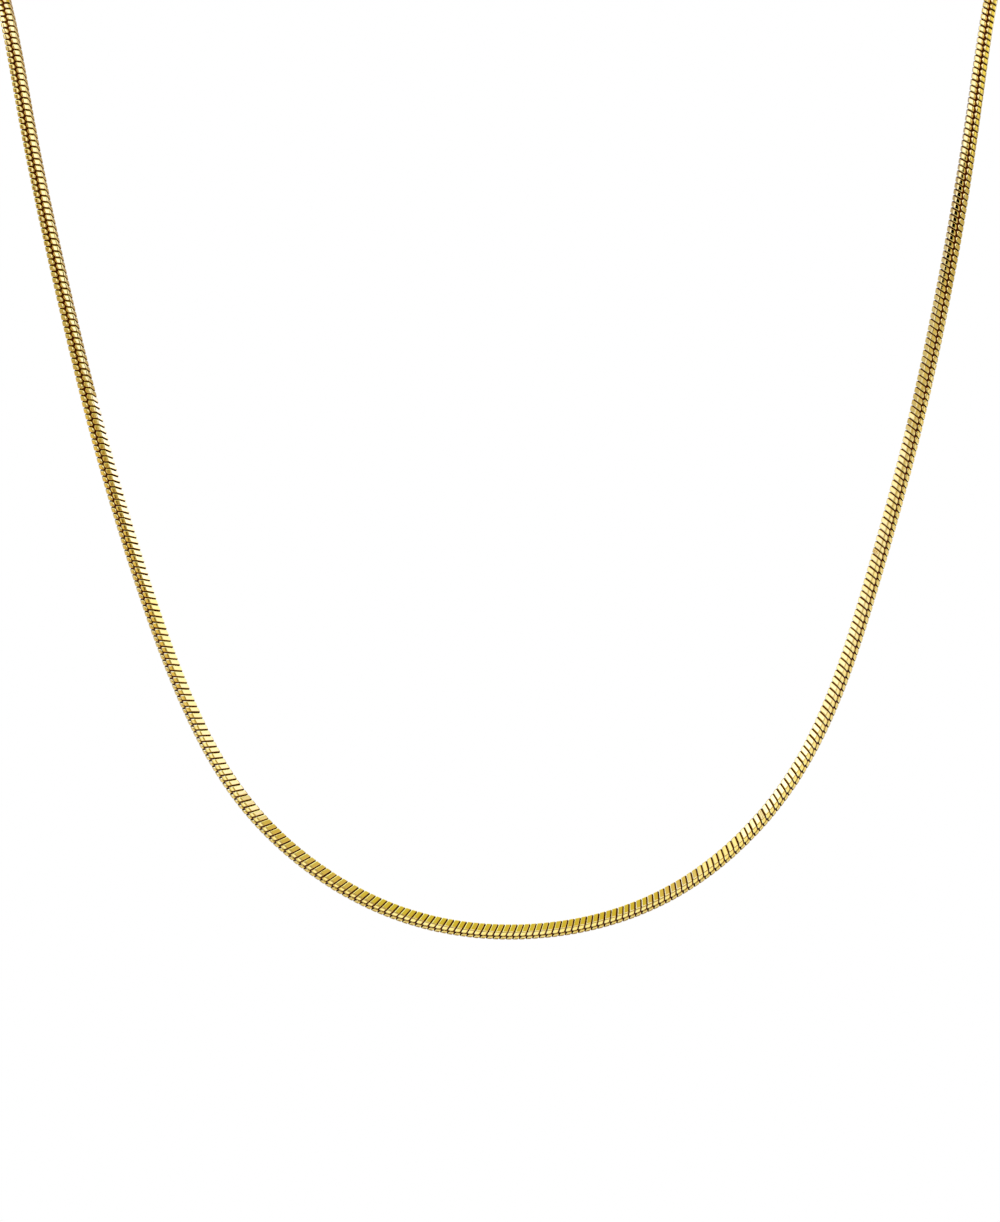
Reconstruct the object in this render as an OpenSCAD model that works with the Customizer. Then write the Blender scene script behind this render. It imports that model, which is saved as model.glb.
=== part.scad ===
// Square snake chain necklace with a barrel clasp, in the form it takes when it is worn.
// X runs across the neck, Y from the front to the nape and Z up. The origin is the middle of
// the clasp, where the necklace rests on the nape.

/* [Loop] */
// Width of the worn loop across the neck
loop_w = 118; // [105:1:131]
// Depth of the loop from the nape to the front
loop_depth = 62.5; // [56:0.5:69]
// Drop of the loop from the nape to its lowest point
loop_drop = 125.3; // [112:0.1:139]

/* [Chain] */
// Width of the chain from one zigzag seam to the other
chain_w = 1.35; // [1.1:0.05:2]
// Height of the chain between its two flat faces
chain_h = 1.6; // [1.2:0.02:2.2]
// Width of each flat face between the cut corners
flat_w = 1.05; // [0.6:0.05:1.2]
// Height of each seam side between the cut corners
side_h = 1; // [0.3:0.05:1.3]

/* [Clasp] */
// Length of the barrel between the shoulders
barrel_l = 6.4; // [4:0.2:14]
// Diameter of the barrel
barrel_d = 3.4; // [3:0.1:6]
// Length of each shoulder, from the barrel down to its cup
shoulder_l = 0.8; // [0.3:0.1:2]
// Length of each end cup
cup_l = 3; // [2.4:0.1:6]
// Depth that the chain's end goes into its cup
cup_depth = 2.2; // [1:0.1:2.4]
// Wall of a cup round the chain
cup_wall = 0.35; // [0.2:0.05:0.5]
// Play between the chain and its cup
cup_play = 0.1; // [0.05:0.01:0.2]
// Radius of the round bead on the rim of each cup
rim_r = 0.2; // [0.1:0.05:0.3]
// Width of the groove round the middle of the barrel
groove_w = 0.3; // [0.2:0.1:1]
// Depth of the groove
groove_depth = 0.15; // [0.1:0.05:0.4]

/* [Hidden] */
$fn = 48;

// Guide points of the chain's route down each side, from the nape to the middle of the front, for
// a loop of the sizes above. Other sizes stretch them.
// Columns: across on the left and right, towards the nape, up on the left and right, then the
// section's turn on the left and right.
ROUTE = [
    [20, 20, 0, 0, 0, -50, -56],
    [33.5, 33.5, -3.5, -0.5, -0.5, -50, -60],
    [45.5, 45.5, -11, -1, -1, -50, -62],
    [54.5, 54.5, -21.5, -2, -2, -50, -65],
    [59, 59, -33.5, -4, -4, -50, -68],
    [59, 59, -43.5, -10.5, -10.5, -50, -68],
    [56.5, 56.5, -48.5, -19, -19, -51, -68],
    [54.5, 54.4, -52, -32, -32, -54, -66],
    [51.9, 52.1, -54.5, -45, -45, -55, -52],
    [48.5, 48.7, -56.5, -60.5, -60.5, -57, -42],
    [45.5, 45.6, -58, -72.5, -72.5, -30, -33],
    [41.4, 41.3, -59.5, -86.5, -86.5, -24, -27],
    [36.9, 37, -60.5, -99.4, -99.5, -14, -18],
    [30.7, 30.7, -61.5, -111.1, -111.1, -14, -11],
    [19.6, 19.8, -62, -120.6, -120.9, -18, -17],
    [7, 7, -62.5, -125.3, -125.3, -18, -18]
];
// Point inside the loop that the section's turn is measured from
HUB = [0, -40, -50];
// Rings of the swept chain, an odd number so that one lies in the middle of the front
RINGS = 79;

// Where the chain's end lies in its cup
cup_mouth = barrel_l / 2 + shoulder_l + cup_l;
chain_end = cup_mouth - cup_depth;

// The section has four faces and four cut corners
SECTION = [
    [flat_w / 2, chain_h / 2],
    [chain_w / 2, side_h / 2],
    [chain_w / 2, -side_h / 2],
    [flat_w / 2, -chain_h / 2],
    [-flat_w / 2, -chain_h / 2],
    [-chain_w / 2, -side_h / 2],
    [-chain_w / 2, side_h / 2],
    [-flat_w / 2, chain_h / 2]
];
SIDES = len(SECTION);
bore_r = max([for (p = SECTION) norm(p)]) + cup_play;
cup_r = bore_r + cup_wall;

// Guide rows of the whole loop, from the left end of the clasp round the front to the right end
WIDEN = loop_w / (max([for (row = ROUTE) row[0]]) + max([for (row = ROUTE) row[1]]));
DEEPEN = loop_depth / max([for (row = ROUTE) -row[2]]);
LOWER = loop_drop / max([for (row = ROUTE) -row[3]]);
FIRST = [chain_end, chain_end, 0, 0, 0, ROUTE[0][5], ROUTE[0][6]];
SIDE = concat([FIRST], [
    for (row = ROUTE)
        [row[0] * WIDEN, row[1] * WIDEN, row[2] * DEEPEN, row[3] * LOWER, row[4] * LOWER,
            row[5], row[6]]
]);
LOOP = concat(
    [for (row = SIDE) [-row[0], row[2], row[3], row[5]]],
    [for (i = [len(SIDE) - 1:-1:0]) [SIDE[i][1], SIDE[i][2], SIDE[i][4], SIDE[i][6]]]
);
SPANS = len(LOOP) - 1;

// A guide row, with one more added past each end so that the route begins and ends on a row
function guide(i) =
    i < 0 ? 2 * LOOP[0] - LOOP[1] :
    i > SPANS ? 2 * LOOP[SPANS] - LOOP[SPANS - 1] :
    LOOP[i];

// Smooth blend of four guide rows: a uniform cubic spline, and its slope
function blend(a, b, c, d, t) =
    (pow(1 - t, 3) * a + (3 * pow(t, 3) - 6 * t * t + 4) * b
    + (3 * t + 3 * t * t - 3 * pow(t, 3) + 1) * c + pow(t, 3) * d) / 6;
function slope(a, b, c, d, t) =
    (-pow(1 - t, 2) * a + (3 * t * t - 4 * t) * b + (2 * t - 3 * t * t + 1) * c + t * t * d) / 2;

function route_row(u) =
    let (i = min(floor(u), SPANS - 1))
    blend(guide(i - 1), guide(i), guide(i + 1), guide(i + 2), u - i);
function route_slope(u) =
    let (i = min(floor(u), SPANS - 1))
    slope(guide(i - 1), guide(i), guide(i + 1), guide(i + 2), u - i);

function xyz(row) = [row[0], row[1], row[2]];
function unit(v) = v / norm(v);

// One ring of the section at u: its seams point away from the hub, turned by the row's angle
function ring(u) =
    let (
        row = route_row(u),
        along = unit(xyz(route_slope(u))),
        away = xyz(row) - HUB,
        out = unit(away - (away * along) * along),
        across = cross(along, out),
        seam = cos(row[3]) * out + sin(row[3]) * across,
        face = cross(along, seam)
    )
    [for (p = SECTION) xyz(row) + p[0] * seam + p[1] * face];

// The whole chain, swept along its route as one closed skin
module chain() {
    points = [for (k = [0:RINGS - 1]) each ring(k * SPANS / (RINGS - 1))];
    skin = [
        for (k = [0:RINGS - 2], s = [0:SIDES - 1])
            let (
                next = (s + 1) % SIDES,
                a = k * SIDES + s,
                b = k * SIDES + next
            )
            each [[a, b, b + SIDES], [a, b + SIDES, a + SIDES]]
    ];
    first_end = [for (s = [1:SIDES - 2]) [0, s + 1, s]];
    base = (RINGS - 1) * SIDES;
    last_end = [for (s = [1:SIDES - 2]) [base, base + s, base + s + 1]];
    color("gold")
        polyhedron(points = points, faces = concat(skin, first_end, last_end), convexity = 10);
}

// One half of the clasp's outside: half the barrel, a shoulder, a cup and its rim
module clasp_half() {
    cylinder(h = barrel_l / 2, d = barrel_d);
    translate([0, 0, barrel_l / 2])
        cylinder(h = shoulder_l, r1 = barrel_d / 2, r2 = cup_r);
    translate([0, 0, barrel_l / 2 + shoulder_l])
        cylinder(h = cup_l, r = cup_r);
    translate([0, 0, cup_mouth - rim_r])
        rotate_extrude()
            translate([cup_r, 0])
                circle(r = rim_r);
}

// Barrel clasp as one plain piece, with a cup at each end for the chain
module clasp() {
    color("goldenrod")
        rotate([0, 90, 0])
            difference() {
                union() {
                    clasp_half();
                    mirror([0, 0, 1])
                        clasp_half();
                }
                for (side = [-1, 1])
                    translate([0, 0, side * (cup_mouth - cup_depth / 2)])
                        cylinder(h = cup_depth + 2 * cup_play, r = bore_r, center = true);
                difference() {
                    cylinder(h = groove_w, d = barrel_d + 1, center = true);
                    cylinder(h = groove_w + 1, d = barrel_d - 2 * groove_depth, center = true);
                }
            }
}

chain();
clasp();
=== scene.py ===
"""Looks of the square snake chain necklace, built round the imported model.

The chain is about six hundred pairs of bent plates, laid along the same route as the solid chain.
Metres throughout. X runs across the neck, Y from the front to the nape and Z up.
"""
import math

import bpy
import numpy as np
from mathutils import Matrix, Vector


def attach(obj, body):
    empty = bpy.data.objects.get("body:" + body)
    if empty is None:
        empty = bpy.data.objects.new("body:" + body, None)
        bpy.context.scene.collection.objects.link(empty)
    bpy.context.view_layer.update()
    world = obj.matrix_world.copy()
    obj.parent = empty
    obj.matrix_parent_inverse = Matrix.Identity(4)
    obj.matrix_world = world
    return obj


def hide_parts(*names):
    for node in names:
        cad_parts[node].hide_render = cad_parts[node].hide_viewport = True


MM = 0.001
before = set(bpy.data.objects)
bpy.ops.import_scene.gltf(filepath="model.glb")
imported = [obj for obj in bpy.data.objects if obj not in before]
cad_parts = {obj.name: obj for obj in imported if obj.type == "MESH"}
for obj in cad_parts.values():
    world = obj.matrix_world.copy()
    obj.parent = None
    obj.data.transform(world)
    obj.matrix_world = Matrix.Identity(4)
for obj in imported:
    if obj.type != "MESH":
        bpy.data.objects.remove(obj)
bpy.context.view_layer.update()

# Guide points of the chain's route down each side, from the nape to the middle of the front, as
# in the part.
# Columns: across on the left and right, towards the nape, up on the left and right, then the
# section's turn on the left and right in degrees.
ROUTE = (
    (0.0200, 0.0200, 0.0000, 0.0000, 0.0000, -50, -56),
    (0.0335, 0.0335, -0.0035, -0.0005, -0.0005, -50, -60),
    (0.0455, 0.0455, -0.0110, -0.0010, -0.0010, -50, -62),
    (0.0545, 0.0545, -0.0215, -0.0020, -0.0020, -50, -65),
    (0.0590, 0.0590, -0.0335, -0.0040, -0.0040, -50, -68),
    (0.0590, 0.0590, -0.0435, -0.0105, -0.0105, -50, -68),
    (0.0565, 0.0565, -0.0485, -0.0190, -0.0190, -51, -68),
    (0.0545, 0.0544, -0.0520, -0.0320, -0.0320, -54, -66),
    (0.0519, 0.0521, -0.0545, -0.0450, -0.0450, -55, -52),
    (0.0485, 0.0487, -0.0565, -0.0605, -0.0605, -57, -42),
    (0.0455, 0.0456, -0.0580, -0.0725, -0.0725, -30, -33),
    (0.0414, 0.0413, -0.0595, -0.0865, -0.0865, -24, -27),
    (0.0369, 0.0370, -0.0605, -0.0994, -0.0995, -14, -18),
    (0.0307, 0.0307, -0.0615, -0.1111, -0.1111, -14, -11),
    (0.0196, 0.0198, -0.0620, -0.1206, -0.1209, -18, -17),
    (0.0070, 0.0070, -0.0625, -0.1253, -0.1253, -18, -18),
)
# Point inside the loop that the section's turn is measured from
HUB = np.array((0.0, -0.040, -0.050))
# Distance of each end of the chain from the middle of the clasp
CHAIN_END = 0.0048
# Samples of the route between two guide points
SAMPLES_PER_SPAN = 240

# Section of the chain: half its flat face and the height of that face, the round crease beside
# the face, and the curved wing from the crease to the seam. Where something lies round the
# section is measured along it, from the middle of a flat face.
FLAT_HALF = 0.46 * MM
FLAT_HEIGHT = 0.80 * MM
CREASE_RADIUS = 0.12 * MM
CREASE_BEND = math.radians(70)
WING_BEND = math.radians(23.2)
WING = 0.735 * MM
CREASE_END = FLAT_HALF + CREASE_RADIUS * CREASE_BEND
SEAM_AT = CREASE_END + WING

# Plates: the pitch along the chain, the gap between two of them, their thickness, the swell of
# their wings, and how far one end lies back along the chain and the other end ahead
PITCH = 0.738 * MM
PLATE_GAP = 0.185 * MM
THICKNESS = 0.22 * MM
DOME = 0.002 * MM
SLANT = 0.64 * PITCH
# Bevels of a plate's two long edges, and how deep the outer line of each lies
LEAD_BEVEL = 0.080 * MM
LEAD_DROP = 0.6 * LEAD_BEVEL
TRAIL_BEVEL = 0.040 * MM
TRAIL_DROP = 0.7 * TRAIL_BEVEL
# Lobe at each end of a plate: where it starts to narrow and to roll in, where it ends, how much
# each side narrows, how deep the end lies and how far the sides of the lobe curve down
LOBE_START = 1.05 * MM
ROLL_START = 1.06 * MM
LOBE_END = 1.30 * MM
LOBE_ROUND = 0.17 * MM
LOBE_DIP = 0.10 * MM
LOBE_CROWN = 0.045 * MM
# Rows of a plate from the middle of its face to its end, in millimetres round the section
ROWS = (0.0, 0.30, 0.445, 0.46, 0.509, 0.558, 0.607, 0.70, 0.80, 0.92, 1.05, 1.11, 1.17, 1.22,
        1.26, 1.29, 1.30)
# Share of a pitch that the column on the second face lies further along
COLUMN_SHIFT = 0.08
# Spread of a plate's random tilt in degrees
PLATE_TILT = 0.7
SEED = 7
# Joined pieces of plates, each a quarter of the chain
PIECES = ("chain_back_left", "chain_front_left", "chain_front_right", "chain_back_right")
SMOOTH_ANGLE = math.radians(26)
# Flat layout of the plates, and how far apart they may lie in it, in millimetres
LAYOUT = "rolling"
LAYOUT_SPREAD = 100

# Core: its depth under the plates' tops, its corners between the middle of a face and the seam,
# in millimetres round the section, and its rings along the chain
CORE_DEPTH = 0.19 * MM
CORE_ROWS = (0.46, 0.50, 0.535, 0.57, 0.607, 0.75, 1.0, 1.15)
CORE_RINGS = 520

# Golds of the chain in the order of the material slots below: name, colour, the deep colour that
# it drifts to, roughness, relief, and the layout that its streaks follow
CHAIN_GOLDS = (
    ("chain_gold", (0.96, 0.68, 0.14), (0.96, 0.65, 0.11), 0.05, 0.003 * MM, LAYOUT),
    # Lighter, whiter gold on the leading bevel: a painted highlight, a bright line along each plate
    ("chain_painted_highlight_edge", (1.0, 0.80, 0.24), (1.0, 0.77, 0.2), 0.2, 0.001 * MM),
    # Deeper orange gold on the trailing bevel and the rolled lobe: painted shade and painted
    # reflection of the neighbouring plates
    ("chain_painted_shade_edge", (0.88, 0.43, 0.05), (0.8, 0.37, 0.04), 0.12, 0.001 * MM),
    # Near-black gold on the walls, undersides, end faces and core: painted shade in the gaps
    # between the plates
    ("chain_painted_shade_recess", (0.10, 0.017, 0.001), (0.06, 0.009, 0.001), 0.3, 0.001 * MM),
)
CLASP_GOLD = ("clasp_gold", (0.94, 0.68, 0.18), (0.94, 0.65, 0.15), 0.09, 0.002 * MM)
# Material slots of a plate: its polished top, its bevel with a painted highlight, the bevel and the
# lobe with painted shade from the next plates, and its walls and underside in painted shade
GOLD, PAINTED_HIGHLIGHT_EDGE, PAINTED_SHADE_EDGE, PAINTED_SHADE_RECESS = 0, 1, 2, 3
# Rows from the end of a plate that lie on the lobe with the painted-shade gold, which is at one end
# only
ROLLED_ROWS = 5

# Cycles of the noise: per metre for the tint and the wear, per millimetre of plate for the streaks
TINT_SCALE = 260.0
WEAR_SCALE = 2400.0
STREAK_SCALE = 7.0
NOISE_DETAIL = 3.0
# Scale of the noise along each axis: even, or drawn out from one end of a plate to the other
EVEN = (1, 1, 1)
DRAWN_OUT = (0.12, 1, 1)
# Noise at which the tint leaves the colour and at which it has reached the deep colour
TINT_FROM = 0.4
TINT_TO = 0.68
# Shares of a gold's roughness that the wear goes between
LEAST_WEAR = 0.6
MOST_WEAR = 1.5

# Camera: the photo's height in pixels and the millimetres on one of them at the front plane,
# then the camera's place and its roll
PHOTO_HEIGHT = 1222
MM_PER_PIXEL = 0.1146
VIEW_HEIGHT = PHOTO_HEIGHT * MM_PER_PIXEL * MM
FRONT_PLANE = -0.056
CAMERA_DISTANCE = 1.2
CAMERA_X = -1.125 * MM
CAMERA_Z = -88.5 * MM
CAMERA_ROLL = math.radians(-1.0165)
CLIP_START = 0.05
CLIP_END = 50
# Longer side of the camera's sensor in millimetres
SENSOR = 36.0

# Floor: its radius, its height, its sides, its colour, which reads neutral under the bluish
# white cards, and its roughness
FLOOR_RADIUS = 5
FLOOR_HEIGHT = -0.6
FLOOR_SIDES = 96
FLOOR_COLOR = (0.98, 0.85, 0.56, 1)
FLOOR_ROUGHNESS = 0.9
# Plain backdrop that only the camera sees
BACKDROP_COLOR = (1.0, 1.0, 1.0, 1)

# The studio: cards and flags round the necklace, each with its azimuth from the camera towards +X
# and its elevation in degrees, half its width and height, the softness of its edge, its level,
# and how green and how blue it is. A later one lies in front of the earlier ones.
CARDS = (
    ("ceiling", 0, 75, 180, 23, 8, 0.66, 1.0, 0.3),
    ("top_box", 180, 62, 85, 20, 8, 1.3, 1.0, 0.6),
    ("right_slope", 52, 46, 8, 12, 4, 0.66, 0.96, 0.6),
    ("right_box", 78, 27, 24, 8, 4, 1.2, 1.0, 1.2),
    ("right_back_box", 108, 19, 24, 8, 5, 1.5, 1.0, 1.4),
    ("right_box_top", 62, 33, 7, 6, 4, 1.2, 1.0, 1.5),
    ("left_slope", -45, 55, 7, 7, 4, 0.74, 0.94, 0.7),
    ("left_ramp", -47, 46, 6, 5, 3, 1.1, 1.0, 1.0),
    ("left_box", -77, 28, 28, 9, 5, 1.3, 1.0, 1.3),
    ("left_box_end", -98, 23, 12, 6, 5, 1.15, 1.0, 1.3),
    ("left_back", -132, 14, 20, 9, 6, 0.64, 1.08, 1.4),
    ("back", 180, 4, 38, 14, 6, 0.5, 1.03, 1.1),
    ("front_fill", -14, 30, 22, 19, 4, 1.3, 1.0, 1.4),
    ("front_right", 24, 13, 19, 13, 5, 0.85, 1.0, 1.1),
    ("front_right_high", 42, 22, 12, 16, 4, 0.95, 0.95, 0.4),
    ("side_low", 42, 1, 9, 5, 3, 0.5, 0.92, 0.7),
    ("side_band", 38, 8, 16, 4, 2, 0.68, 0.97, 0.8),
    ("side_mid", 52, -1, 5, 5, 3, 0.75, 1.0, 1.3),
    ("side_card", 73, -14, 18, 11, 4, 1.08, 0.97, 1.1),
    ("right_low", 82, -42, 15, 22, 5, 1.06, 0.96, 0.9),
    ("right_far_low", 108, -45, 18, 30, 6, 1.1, 0.95, 0.7),
    ("right_far", 122, -15, 28, 9, 5, 0.85, 0.93, 0.9),
    ("floor", 0, -78, 180, 15, 5, 1.1, 1.0, 0.9),
    ("left_low", -85, -44, 13, 26, 5, 1.16, 0.98, 1.0),
    ("left_far_low", -114, -40, 15, 24, 6, 0.95, 0.95, 0.6),
    ("left_side", -88, -11, 20, 8, 4, 0.8, 0.83, 0.4),
    ("left_far", -134, -14, 22, 9, 6, 0.7, 1.0, 1.2),
    ("left_flag", -58, -8, 8, 6, 3, 0.1, 0.95, 0.3),
    ("left_dark", -47, 1, 7, 5, 3, 0.4, 0.88, 0.4),
    ("front_flag", -41, 22, 6, 13, 3, 0.3, 0.85, 0.5),
    ("left_strip", -55, 17, 4, 12, 2, 0.8, 0.88, 0.7),
    ("left_gap", -65, 15, 5, 11, 3, 0.15, 0.8, 0.5),
    ("left_window", -56, 36, 9, 7, 3, 1.6, 1.0, 1.3),
    ("black_flag", 18, 17.5, 17.5, 5.5, 1, 0.0, 1.0, 1.0),
    ("low_flag", 0, -18, 22, 6, 4, 0.12, 0.9, 1.0),
    ("back_low", 180, -52, 32, 14, 8, 0.3, 0.85, 0.8),
)
# Level of the room between the cards
ROOM_LEVEL = 0.55
# Gain and power that turn a card's level into its green and its blue
GREEN_GAIN = 1.16
GREEN_POWER = 1.27
BLUE_GAIN = 2.0
BLUE_POWER = 1.95


def spline_rows():
    """Guide rows of the whole loop, from the left end round the front to the right end."""
    side = [(CHAIN_END, CHAIN_END, 0.0, 0.0, 0.0, ROUTE[0][5], ROUTE[0][6])] + list(ROUTE)
    left = [(-row[0], row[2], row[3], row[5]) for row in side]
    right = [(row[1], row[2], row[4], row[6]) for row in reversed(side)]
    rows = np.array(left + right)
    return np.vstack((2 * rows[0] - rows[1], rows, 2 * rows[-1] - rows[-2]))


def blend(a, b, c, d, t):
    """Smooth blend of four guide rows at the shares t of a span: a uniform cubic spline."""
    return ((1 - t) ** 3 * a + (3 * t ** 3 - 6 * t ** 2 + 4) * b
            + (3 * t + 3 * t ** 2 - 3 * t ** 3 + 1) * c + t ** 3 * d) / 6


def slope(a, b, c, d, t):
    """Slope of that blend."""
    return (-(1 - t) ** 2 * a + (3 * t ** 2 - 4 * t) * b
            + (2 * t - 3 * t ** 2 + 1) * c + t ** 2 * d) / 2


def unit(vectors):
    return vectors / np.linalg.norm(vectors, axis=1, keepdims=True)


class Route:
    """The chain's centre line as a smooth cubic spline, read by its arc length."""

    def __init__(self):
        guides = spline_rows()
        t = (np.arange(SAMPLES_PER_SPAN) / SAMPLES_PER_SPAN)[:, None]
        spans = list(zip(guides, guides[1:], guides[2:], guides[3:]))
        self.rows = np.vstack([blend(*span, t) for span in spans])
        self.slopes = np.vstack([slope(*span, t) for span in spans])
        steps = np.linalg.norm(np.diff(self.rows[:, :3], axis=0), axis=1)
        self.at = np.concatenate(((0.0,), np.cumsum(steps)))
        self.length = self.at[-1]

    def frames(self, s):
        """Centre of the chain and its along, seam and face directions at each arc length in s."""
        row = np.stack([np.interp(s, self.at, self.rows[:, k]) for k in range(4)], axis=1)
        slopes = np.stack([np.interp(s, self.at, self.slopes[:, k]) for k in range(3)], axis=1)
        along = unit(slopes)
        away = row[:, :3] - HUB
        out = unit(away - (away * along).sum(1, keepdims=True) * along)
        turn = np.radians(row[:, 3:])
        seam = np.cos(turn) * out + np.sin(turn) * np.cross(along, out)
        return row[:, :3], along, seam, np.cross(seam, along)


def outline(reach, depth):
    """How far across and how high the section is at a reach round it, sunk by a depth."""
    side = np.sign(reach)
    reach = np.abs(reach)
    bend = np.clip(reach - FLAT_HALF, 0, CREASE_END - FLAT_HALF) / CREASE_RADIUS
    wing_radius = WING / WING_BEND
    more = np.clip(reach - CREASE_END, 0, None) / wing_radius
    across = np.minimum(reach, FLAT_HALF) + CREASE_RADIUS * np.sin(bend)
    across = across + wing_radius * (np.sin(CREASE_BEND + more) - math.sin(CREASE_BEND))
    height = FLAT_HEIGHT - CREASE_RADIUS * (1 - np.cos(bend))
    height = height + wing_radius * (np.cos(CREASE_BEND + more) - math.cos(CREASE_BEND))
    return side * (across - depth * np.sin(bend + more)), height - depth * np.cos(bend + more)


def share(value, start, end):
    """How far each value has come from the start to the end, from none to one."""
    return np.clip((value - start) / (end - start), 0, 1)


def plate_depth(to_end, beside):
    """Depth of a plate's points: bevels and underside, the rolled lobe and the swollen wing."""
    sunk = np.array((THICKNESS, LEAD_DROP, 0, 0, 0, 0, 0, TRAIL_DROP, THICKNESS))
    roll = share(to_end, ROLL_START, LOBE_END)
    wing = share(to_end, CREASE_END, LOBE_END)
    dip = LOBE_DIP * roll ** 2
    crown = LOBE_CROWN * (roll * (2 - roll))[:, None] * beside ** 2
    swell = DOME * (4 * wing * (1 - wing))[:, None] * (1 - beside ** 2)
    return dip[:, None] + sunk + np.where(sunk < THICKNESS, crown - swell, 0)


def plate_shape():
    """Points of one plate: a loop round its thickness for each row from end to end.

    Three arrays say how far each point lies across the chain, above its centre and along it.
    """
    half = np.array(ROWS) * MM
    reach = np.concatenate((-half[:0:-1], half))
    to_end = np.abs(reach)
    narrowing = share(to_end, LOBE_START, LOBE_END)
    width = (PITCH - PLATE_GAP) / 2 - LOBE_ROUND * (1 - np.sqrt(1 - narrowing ** 2))
    zero = np.zeros_like(width)
    aside = np.stack((-width, -width, -width + LEAD_BEVEL, -0.5 * width, zero,
                      0.5 * width, width - TRAIL_BEVEL, width, width), axis=1)
    depth = plate_depth(to_end, aside / width[:, None])
    across, height = outline(np.repeat(reach[:, None], aside.shape[1], axis=1), depth)
    return across, height, aside - SLANT * (reach / SEAM_AT)[:, None]


def tube_faces(rings, sides):
    """Faces of a tube of rings, wound to look outwards."""
    ring, point = np.meshgrid(np.arange(rings - 1), np.arange(sides), indexing="ij")
    here = ring * sides + point
    beside = ring * sides + (point + 1) % sides
    return np.stack((here, beside, beside + sides, here + sides), axis=-1).reshape(-1, 4)


def end_faces(rings, sides):
    """The two ends of such a tube: strips of four-sided faces and a last triangle each."""
    last = (rings - 1) * sides
    middle = sides // 2
    strips = []
    for low in range(middle - 1):
        high = sides - 1 - low
        strips.append((low, high, high - 1, low + 1))
        strips.append((last + low, last + low + 1, last + high - 1, last + high))
    tips = [(middle - 1, middle + 1, middle), (last + middle - 1, last + middle, last + middle + 1)]
    return np.array(strips), np.array(tips)


def tube_slots(rings, sides):
    """Material slot of each of a plate's tube faces."""
    ring, point = np.meshgrid(np.arange(rings - 1), np.arange(sides), indexing="ij")
    which = np.full(point.shape, GOLD)
    # Leading bevel: the painted highlight
    which[point == 1] = PAINTED_HIGHLIGHT_EDGE
    # Trailing bevel and the rolled end of the lobe: the painted shade and painted reflection
    which[(point == sides - 3) | (ring >= rings - ROLLED_ROWS)] = PAINTED_SHADE_EDGE
    # Walls and underside: the painted shade
    which[(point == 0) | (point >= sides - 2)] = PAINTED_SHADE_RECESS
    return which.ravel()


def repeat_faces(faces, count, points):
    """Faces of one plate repeated for a count of plates with so many points each."""
    shifts = np.arange(count)[:, None, None] * points
    return (faces + shifts).reshape(-1, faces.shape[1])


def add_mesh(name, points, faces, materials):
    """New piece of points and of blocks of faces."""
    mesh = bpy.data.meshes.new(name)
    mesh.from_pydata(points.tolist(), [], [face for block in faces for face in block.tolist()])
    for material in materials:
        mesh.materials.append(material)
    piece = bpy.data.objects.new(name, mesh)
    bpy.context.scene.collection.objects.link(piece)
    return piece


def smooth(mesh):
    """Smooth shading, with sharp edges where the faces turn by more than the smooth angle."""
    mesh.polygons.foreach_set("use_smooth", np.ones(len(mesh.polygons), dtype=bool))
    mesh.set_sharp_from_angle(angle=SMOOTH_ANGLE)


def lay_out(mesh, places):
    """Flat layout of a mesh from a place for each of its points."""
    layer = mesh.uv_layers.new(name=LAYOUT)
    corners = np.empty(len(mesh.loops), dtype=np.int32)
    mesh.loops.foreach_get("vertex_index", corners)
    layer.data.foreach_set("uv", places[corners].astype(np.float32).ravel())


def tilted(frames, side, rng):
    """Frames of a column's plates, each tilted at random by a fraction of a degree."""
    centre, along, seam, face = frames
    pitch_by, roll_by = np.radians(rng.normal(0, PLATE_TILT, (2, len(centre), 1)))
    return (centre, along + pitch_by * face * side, seam - roll_by * face,
            face - pitch_by * along * side + roll_by * seam)


def column_points(shape, frames, side):
    """Points of all plates of a column, on the first face of the chain or on the second."""
    across, height, along_by = (part[None, :, :, None] for part in shape)
    centre, along, seam, face = (part[:, None, None] for part in frames)
    points = centre + side * across * seam + side * height * face + along_by * along
    return points.reshape(-1, 3)


def add_plates(name, route, first, last, spacing, materials, rng):
    """Plates of both columns from the first link up to the last, as one joined mesh."""
    shape = plate_shape()
    across, _, along_by = shape
    flat = np.stack((across, along_by + SLANT * across / SEAM_AT), axis=-1).reshape(-1, 2) / MM
    points, places = [], []
    for side, start in ((1, 0.5), (-1, 0.5 + COLUMN_SHIFT)):
        frames = route.frames((np.arange(first, last) + start) * spacing)
        points.append(column_points(shape, tilted(frames, side, rng), side))
        apart = rng.uniform(0, LAYOUT_SPREAD, (last - first, 1, 2))
        places.append((flat + apart).reshape(-1, 2))
    plates = 2 * (last - first)
    strips, tips = end_faces(*across.shape)
    quads = np.vstack((tube_faces(*across.shape), strips))
    faces = [repeat_faces(block, plates, across.size) for block in (quads, tips)]
    # The end faces of the plates take the painted shade too
    which = np.concatenate((tube_slots(*across.shape), np.full(len(strips), PAINTED_SHADE_RECESS)))
    which = np.concatenate((np.tile(which, plates), np.full(plates * len(tips), PAINTED_SHADE_RECESS)))
    piece = add_mesh(name, np.vstack(points), faces, materials)
    piece.data.polygons.foreach_set("material_index", which.astype(np.int32))
    smooth(piece.data)
    lay_out(piece.data, np.vstack(places))
    return piece


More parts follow.
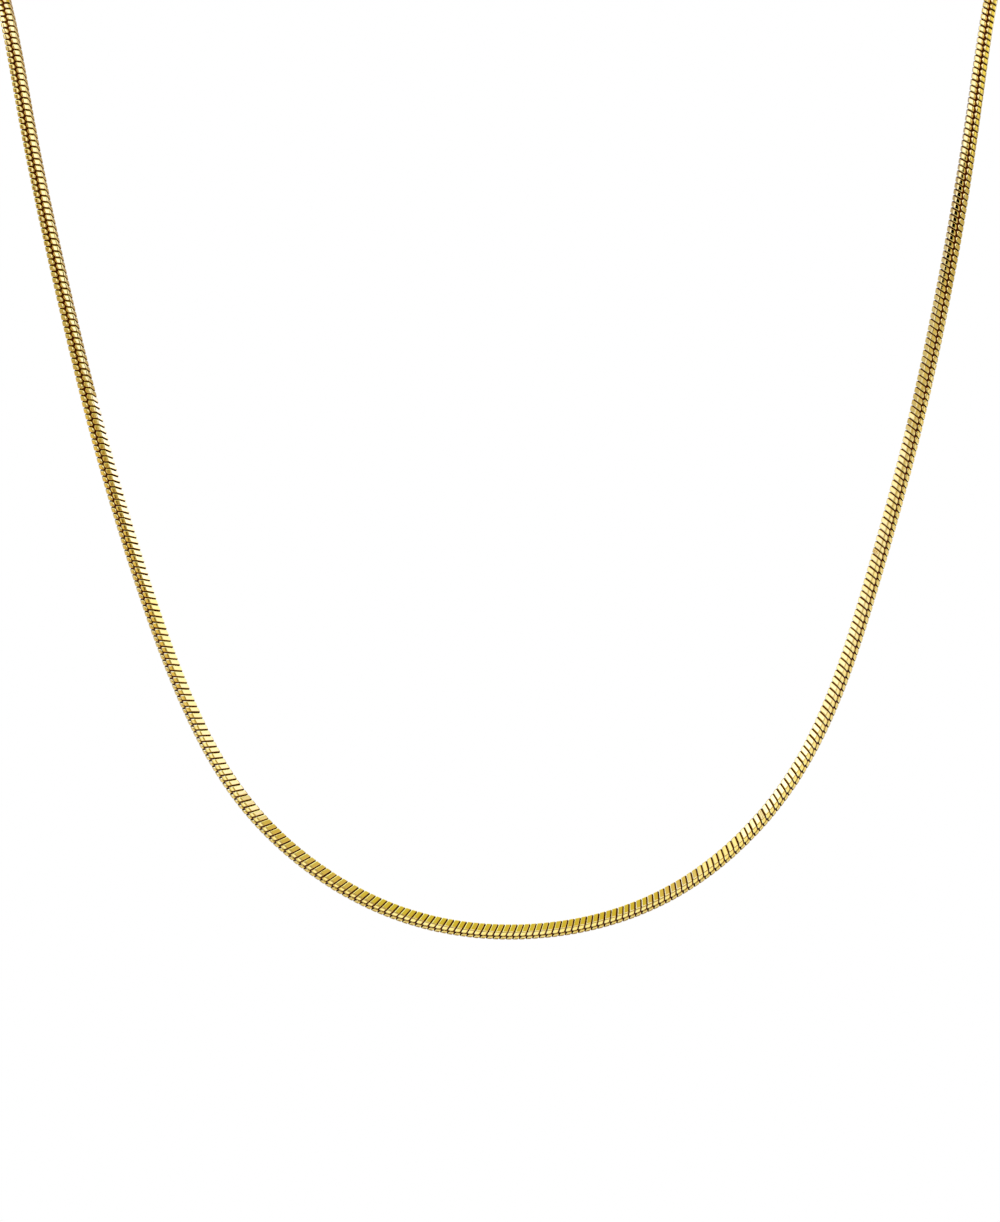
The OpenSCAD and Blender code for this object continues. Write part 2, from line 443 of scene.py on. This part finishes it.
def add_core(route, material):
    """Inside of the chain in painted shade: a dark sheet where the gaps between the plates show
    only shade.
    """
    half = np.array(CORE_ROWS) * MM
    reach = np.concatenate((-half[::-1], (0.0,), half, (SEAM_AT,)))
    across, height = outline(reach, np.full(len(reach), CORE_DEPTH))
    across = np.concatenate((across, -across))[None, :, None]
    height = np.concatenate((height, -height))[None, :, None]
    frames = route.frames(np.linspace(0, route.length, CORE_RINGS))
    centre, _, seam, face = (part[:, None] for part in frames)
    points = centre + across * seam + height * face
    faces = tube_faces(CORE_RINGS, across.size)
    return add_mesh("chain_core", points.reshape(-1, 3), [faces], [material])


def add_noise(tree, place, scale, axis_scale):
    """Noise over a place, drawn out along an axis whose scale is small."""
    wide = tree.nodes.new("ShaderNodeMapping")
    wide.inputs["Scale"].default_value = axis_scale
    noise = tree.nodes.new("ShaderNodeTexNoise")
    noise.inputs["Scale"].default_value = scale
    noise.inputs["Detail"].default_value = NOISE_DETAIL
    tree.links.new(place, wide.inputs["Vector"])
    tree.links.new(wide.outputs["Vector"], noise.inputs["Vector"])
    return noise.outputs["Fac"]


def add_tint(tree, factor, color, deep):
    """The colour, drifting to the deep colour as the factor rises."""
    ramp = tree.nodes.new("ShaderNodeValToRGB")
    first, second = ramp.color_ramp.elements
    first.position = TINT_FROM
    second.position = TINT_TO
    first.color = (*color, 1)
    second.color = (*deep, 1)
    tree.links.new(factor, ramp.inputs["Fac"])
    return ramp.outputs["Color"]


def gold_material(name, color, deep, roughness, relief, layout=None):
    """Gold plate: its tint drifts towards the deep colour, over a fine relief.

    The relief is streaks along the plates where there is a layout, and else the wear itself.
    """
    material = bpy.data.materials.new(name)
    material.use_nodes = True
    tree = material.node_tree
    shader = tree.nodes["Principled BSDF"]
    shader.inputs["Metallic"].default_value = 1.0
    place = tree.nodes.new("ShaderNodeTexCoord").outputs["Object"]
    tint = add_noise(tree, place, TINT_SCALE, EVEN)
    tree.links.new(add_tint(tree, tint, color, deep), shader.inputs["Base Color"])
    wear = add_noise(tree, place, WEAR_SCALE, EVEN)
    grain = tree.nodes.new("ShaderNodeMapRange")
    grain.inputs["To Min"].default_value = LEAST_WEAR * roughness
    grain.inputs["To Max"].default_value = MOST_WEAR * roughness
    tree.links.new(wear, grain.inputs["Value"])
    tree.links.new(grain.outputs["Result"], shader.inputs["Roughness"])
    streaks = wear
    if layout is not None:
        flat = tree.nodes.new("ShaderNodeUVMap")
        flat.uv_map = layout
        streaks = add_noise(tree, flat.outputs["UV"], STREAK_SCALE, DRAWN_OUT)
    bump = tree.nodes.new("ShaderNodeBump")
    bump.inputs["Strength"].default_value = 1.0
    bump.inputs["Distance"].default_value = relief
    tree.links.new(streaks, bump.inputs["Height"])
    tree.links.new(bump.outputs["Normal"], shader.inputs["Normal"])
    return material


def add_camera():
    """Camera straight in front of the chain, as high as the photo's view at the front plane."""
    data = bpy.data.cameras.new("camera")
    data.sensor_width = SENSOR
    data.lens = SENSOR * CAMERA_DISTANCE / VIEW_HEIGHT
    data.clip_start = CLIP_START
    data.clip_end = CLIP_END
    camera = bpy.data.objects.new("camera", data)
    c, s = math.cos(CAMERA_ROLL), math.sin(CAMERA_ROLL)
    turn = Matrix(((c, -s, 0), (0, 0, -1), (s, c, 0)))
    place = Vector((CAMERA_X, FRONT_PLANE - CAMERA_DISTANCE, CAMERA_Z))
    camera.matrix_world = Matrix.Translation(place) @ turn.to_4x4()
    bpy.context.scene.collection.objects.link(camera)
    bpy.context.scene.camera = camera


def card_color(level, green, blue):
    """Colour of a card: the dim ones are warm and the bright ones cool."""
    return (level, GREEN_GAIN * green * level ** GREEN_POWER,
            BLUE_GAIN * blue * level ** BLUE_POWER, 1)


def feed(tree, socket, value):
    """Link a socket to another one, or set it to a number or a colour."""
    if isinstance(value, bpy.types.NodeSocket):
        tree.links.new(value, socket)
    else:
        socket.default_value = value


def add_math(tree, operation, *values):
    """Output of a math node whose inputs are sockets or numbers."""
    node = tree.nodes.new("ShaderNodeMath")
    node.operation = operation
    for socket, value in zip(node.inputs, values):
        feed(tree, socket, value)
    return node.outputs[0]


def add_edge(tree, distance, half, soft):
    """One inside the distance half and none beyond it, with a soft edge."""
    node = tree.nodes.new("ShaderNodeMapRange")
    node.interpolation_type = "SMOOTHSTEP"
    node.inputs["From Min"].default_value = math.radians(half + soft / 2)
    node.inputs["From Max"].default_value = math.radians(half - soft / 2)
    tree.links.new(distance, node.inputs["Value"])
    return node.outputs["Result"]


def add_mix(tree, factor, first, second):
    """The first colour, covered by the second one as far as the factor says."""
    node = tree.nodes.new("ShaderNodeMix")
    node.data_type = "RGBA"
    feed(tree, node.inputs["Factor"], factor)
    feed(tree, node.inputs["A"], first)
    feed(tree, node.inputs["B"], second)
    return node.outputs["Result"]


def add_card(tree, azimuth, elevation, under, card):
    """One card of the studio laid over the colours under it."""
    az, el, wide, high, soft, *tint = card[1:]
    turned = add_math(tree, "SUBTRACT", azimuth, math.radians(az))
    wrapped = add_math(tree, "WRAP", turned, math.pi, -math.pi)
    aside = add_math(tree, "ABSOLUTE", wrapped)
    raised = add_math(tree, "ABSOLUTE", add_math(tree, "SUBTRACT", elevation, math.radians(el)))
    mask = add_math(tree, "MULTIPLY", add_edge(tree, aside, wide, soft),
                    add_edge(tree, raised, high, soft))
    return add_mix(tree, mask, under, card_color(*tint))


def studio_color(tree):
    """Colour of the studio in each direction: the room with all cards in front of it."""
    place = tree.nodes.new("ShaderNodeTexCoord")
    split = tree.nodes.new("ShaderNodeSeparateXYZ")
    tree.links.new(place.outputs["Generated"], split.inputs[0])
    ahead = add_math(tree, "MULTIPLY", split.outputs["Y"], -1.0)
    azimuth = add_math(tree, "ARCTAN2", split.outputs["X"], ahead)
    elevation = add_math(tree, "ARCSINE", split.outputs["Z"])
    color = card_color(ROOM_LEVEL, 1.0, 1.0)
    for card in CARDS:
        color = add_card(tree, azimuth, elevation, color, card)
    return color


def add_world():
    """World that lights the necklace with the studio and shows the camera a plain backdrop."""
    world = bpy.data.worlds.new("studio")
    bpy.context.scene.world = world
    world.use_nodes = True
    tree = world.node_tree
    studio = tree.nodes["Background"]
    tree.links.new(studio_color(tree), studio.inputs["Color"])
    backdrop = tree.nodes.new("ShaderNodeBackground")
    backdrop.inputs["Color"].default_value = BACKDROP_COLOR
    path = tree.nodes.new("ShaderNodeLightPath")
    either = tree.nodes.new("ShaderNodeMixShader")
    tree.links.new(path.outputs["Is Camera Ray"], either.inputs["Fac"])
    tree.links.new(studio.outputs[0], either.inputs[1])
    tree.links.new(backdrop.outputs[0], either.inputs[2])
    tree.links.new(either.outputs[0], tree.nodes["World Output"].inputs["Surface"])


def floor_material():
    """Pale matt floor."""
    material = bpy.data.materials.new("floor_pale")
    material.use_nodes = True
    shader = material.node_tree.nodes["Principled BSDF"]
    shader.inputs["Base Color"].default_value = FLOOR_COLOR
    shader.inputs["Roughness"].default_value = FLOOR_ROUGHNESS
    return material


def add_floor():
    """Round floor that the gold does not mirror, so that the cards below it reach the gold."""
    bpy.ops.mesh.primitive_circle_add(vertices=FLOOR_SIDES, radius=FLOOR_RADIUS, fill_type="NGON",
                                      location=(0, 0, FLOOR_HEIGHT))
    floor = bpy.context.object
    floor.name = "floor"
    floor.visible_glossy = False
    floor.data.materials.append(floor_material())


add_camera()
route = Route()
link_count = round(route.length / PITCH)
spacing = route.length / link_count
cuts = [round(link_count * k / len(PIECES)) for k in range(len(PIECES) + 1)]
materials = [gold_material(*gold) for gold in CHAIN_GOLDS]
rng = np.random.default_rng(SEED)
pieces = []
for name, first, last in zip(PIECES, cuts, cuts[1:]):
    pieces.append(add_plates(name, route, first, last, spacing, materials, rng))
# The core takes the painted-shade material
pieces.append(add_core(route, materials[PAINTED_SHADE_RECESS]))
for piece in pieces:
    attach(piece, "root")
    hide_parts("chain")

clasp_gold = gold_material(*CLASP_GOLD)
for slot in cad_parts["clasp"].material_slots:
    slot.material = clasp_gold

add_floor()
add_world()
bpy.context.scene.view_settings.view_transform = "Standard"
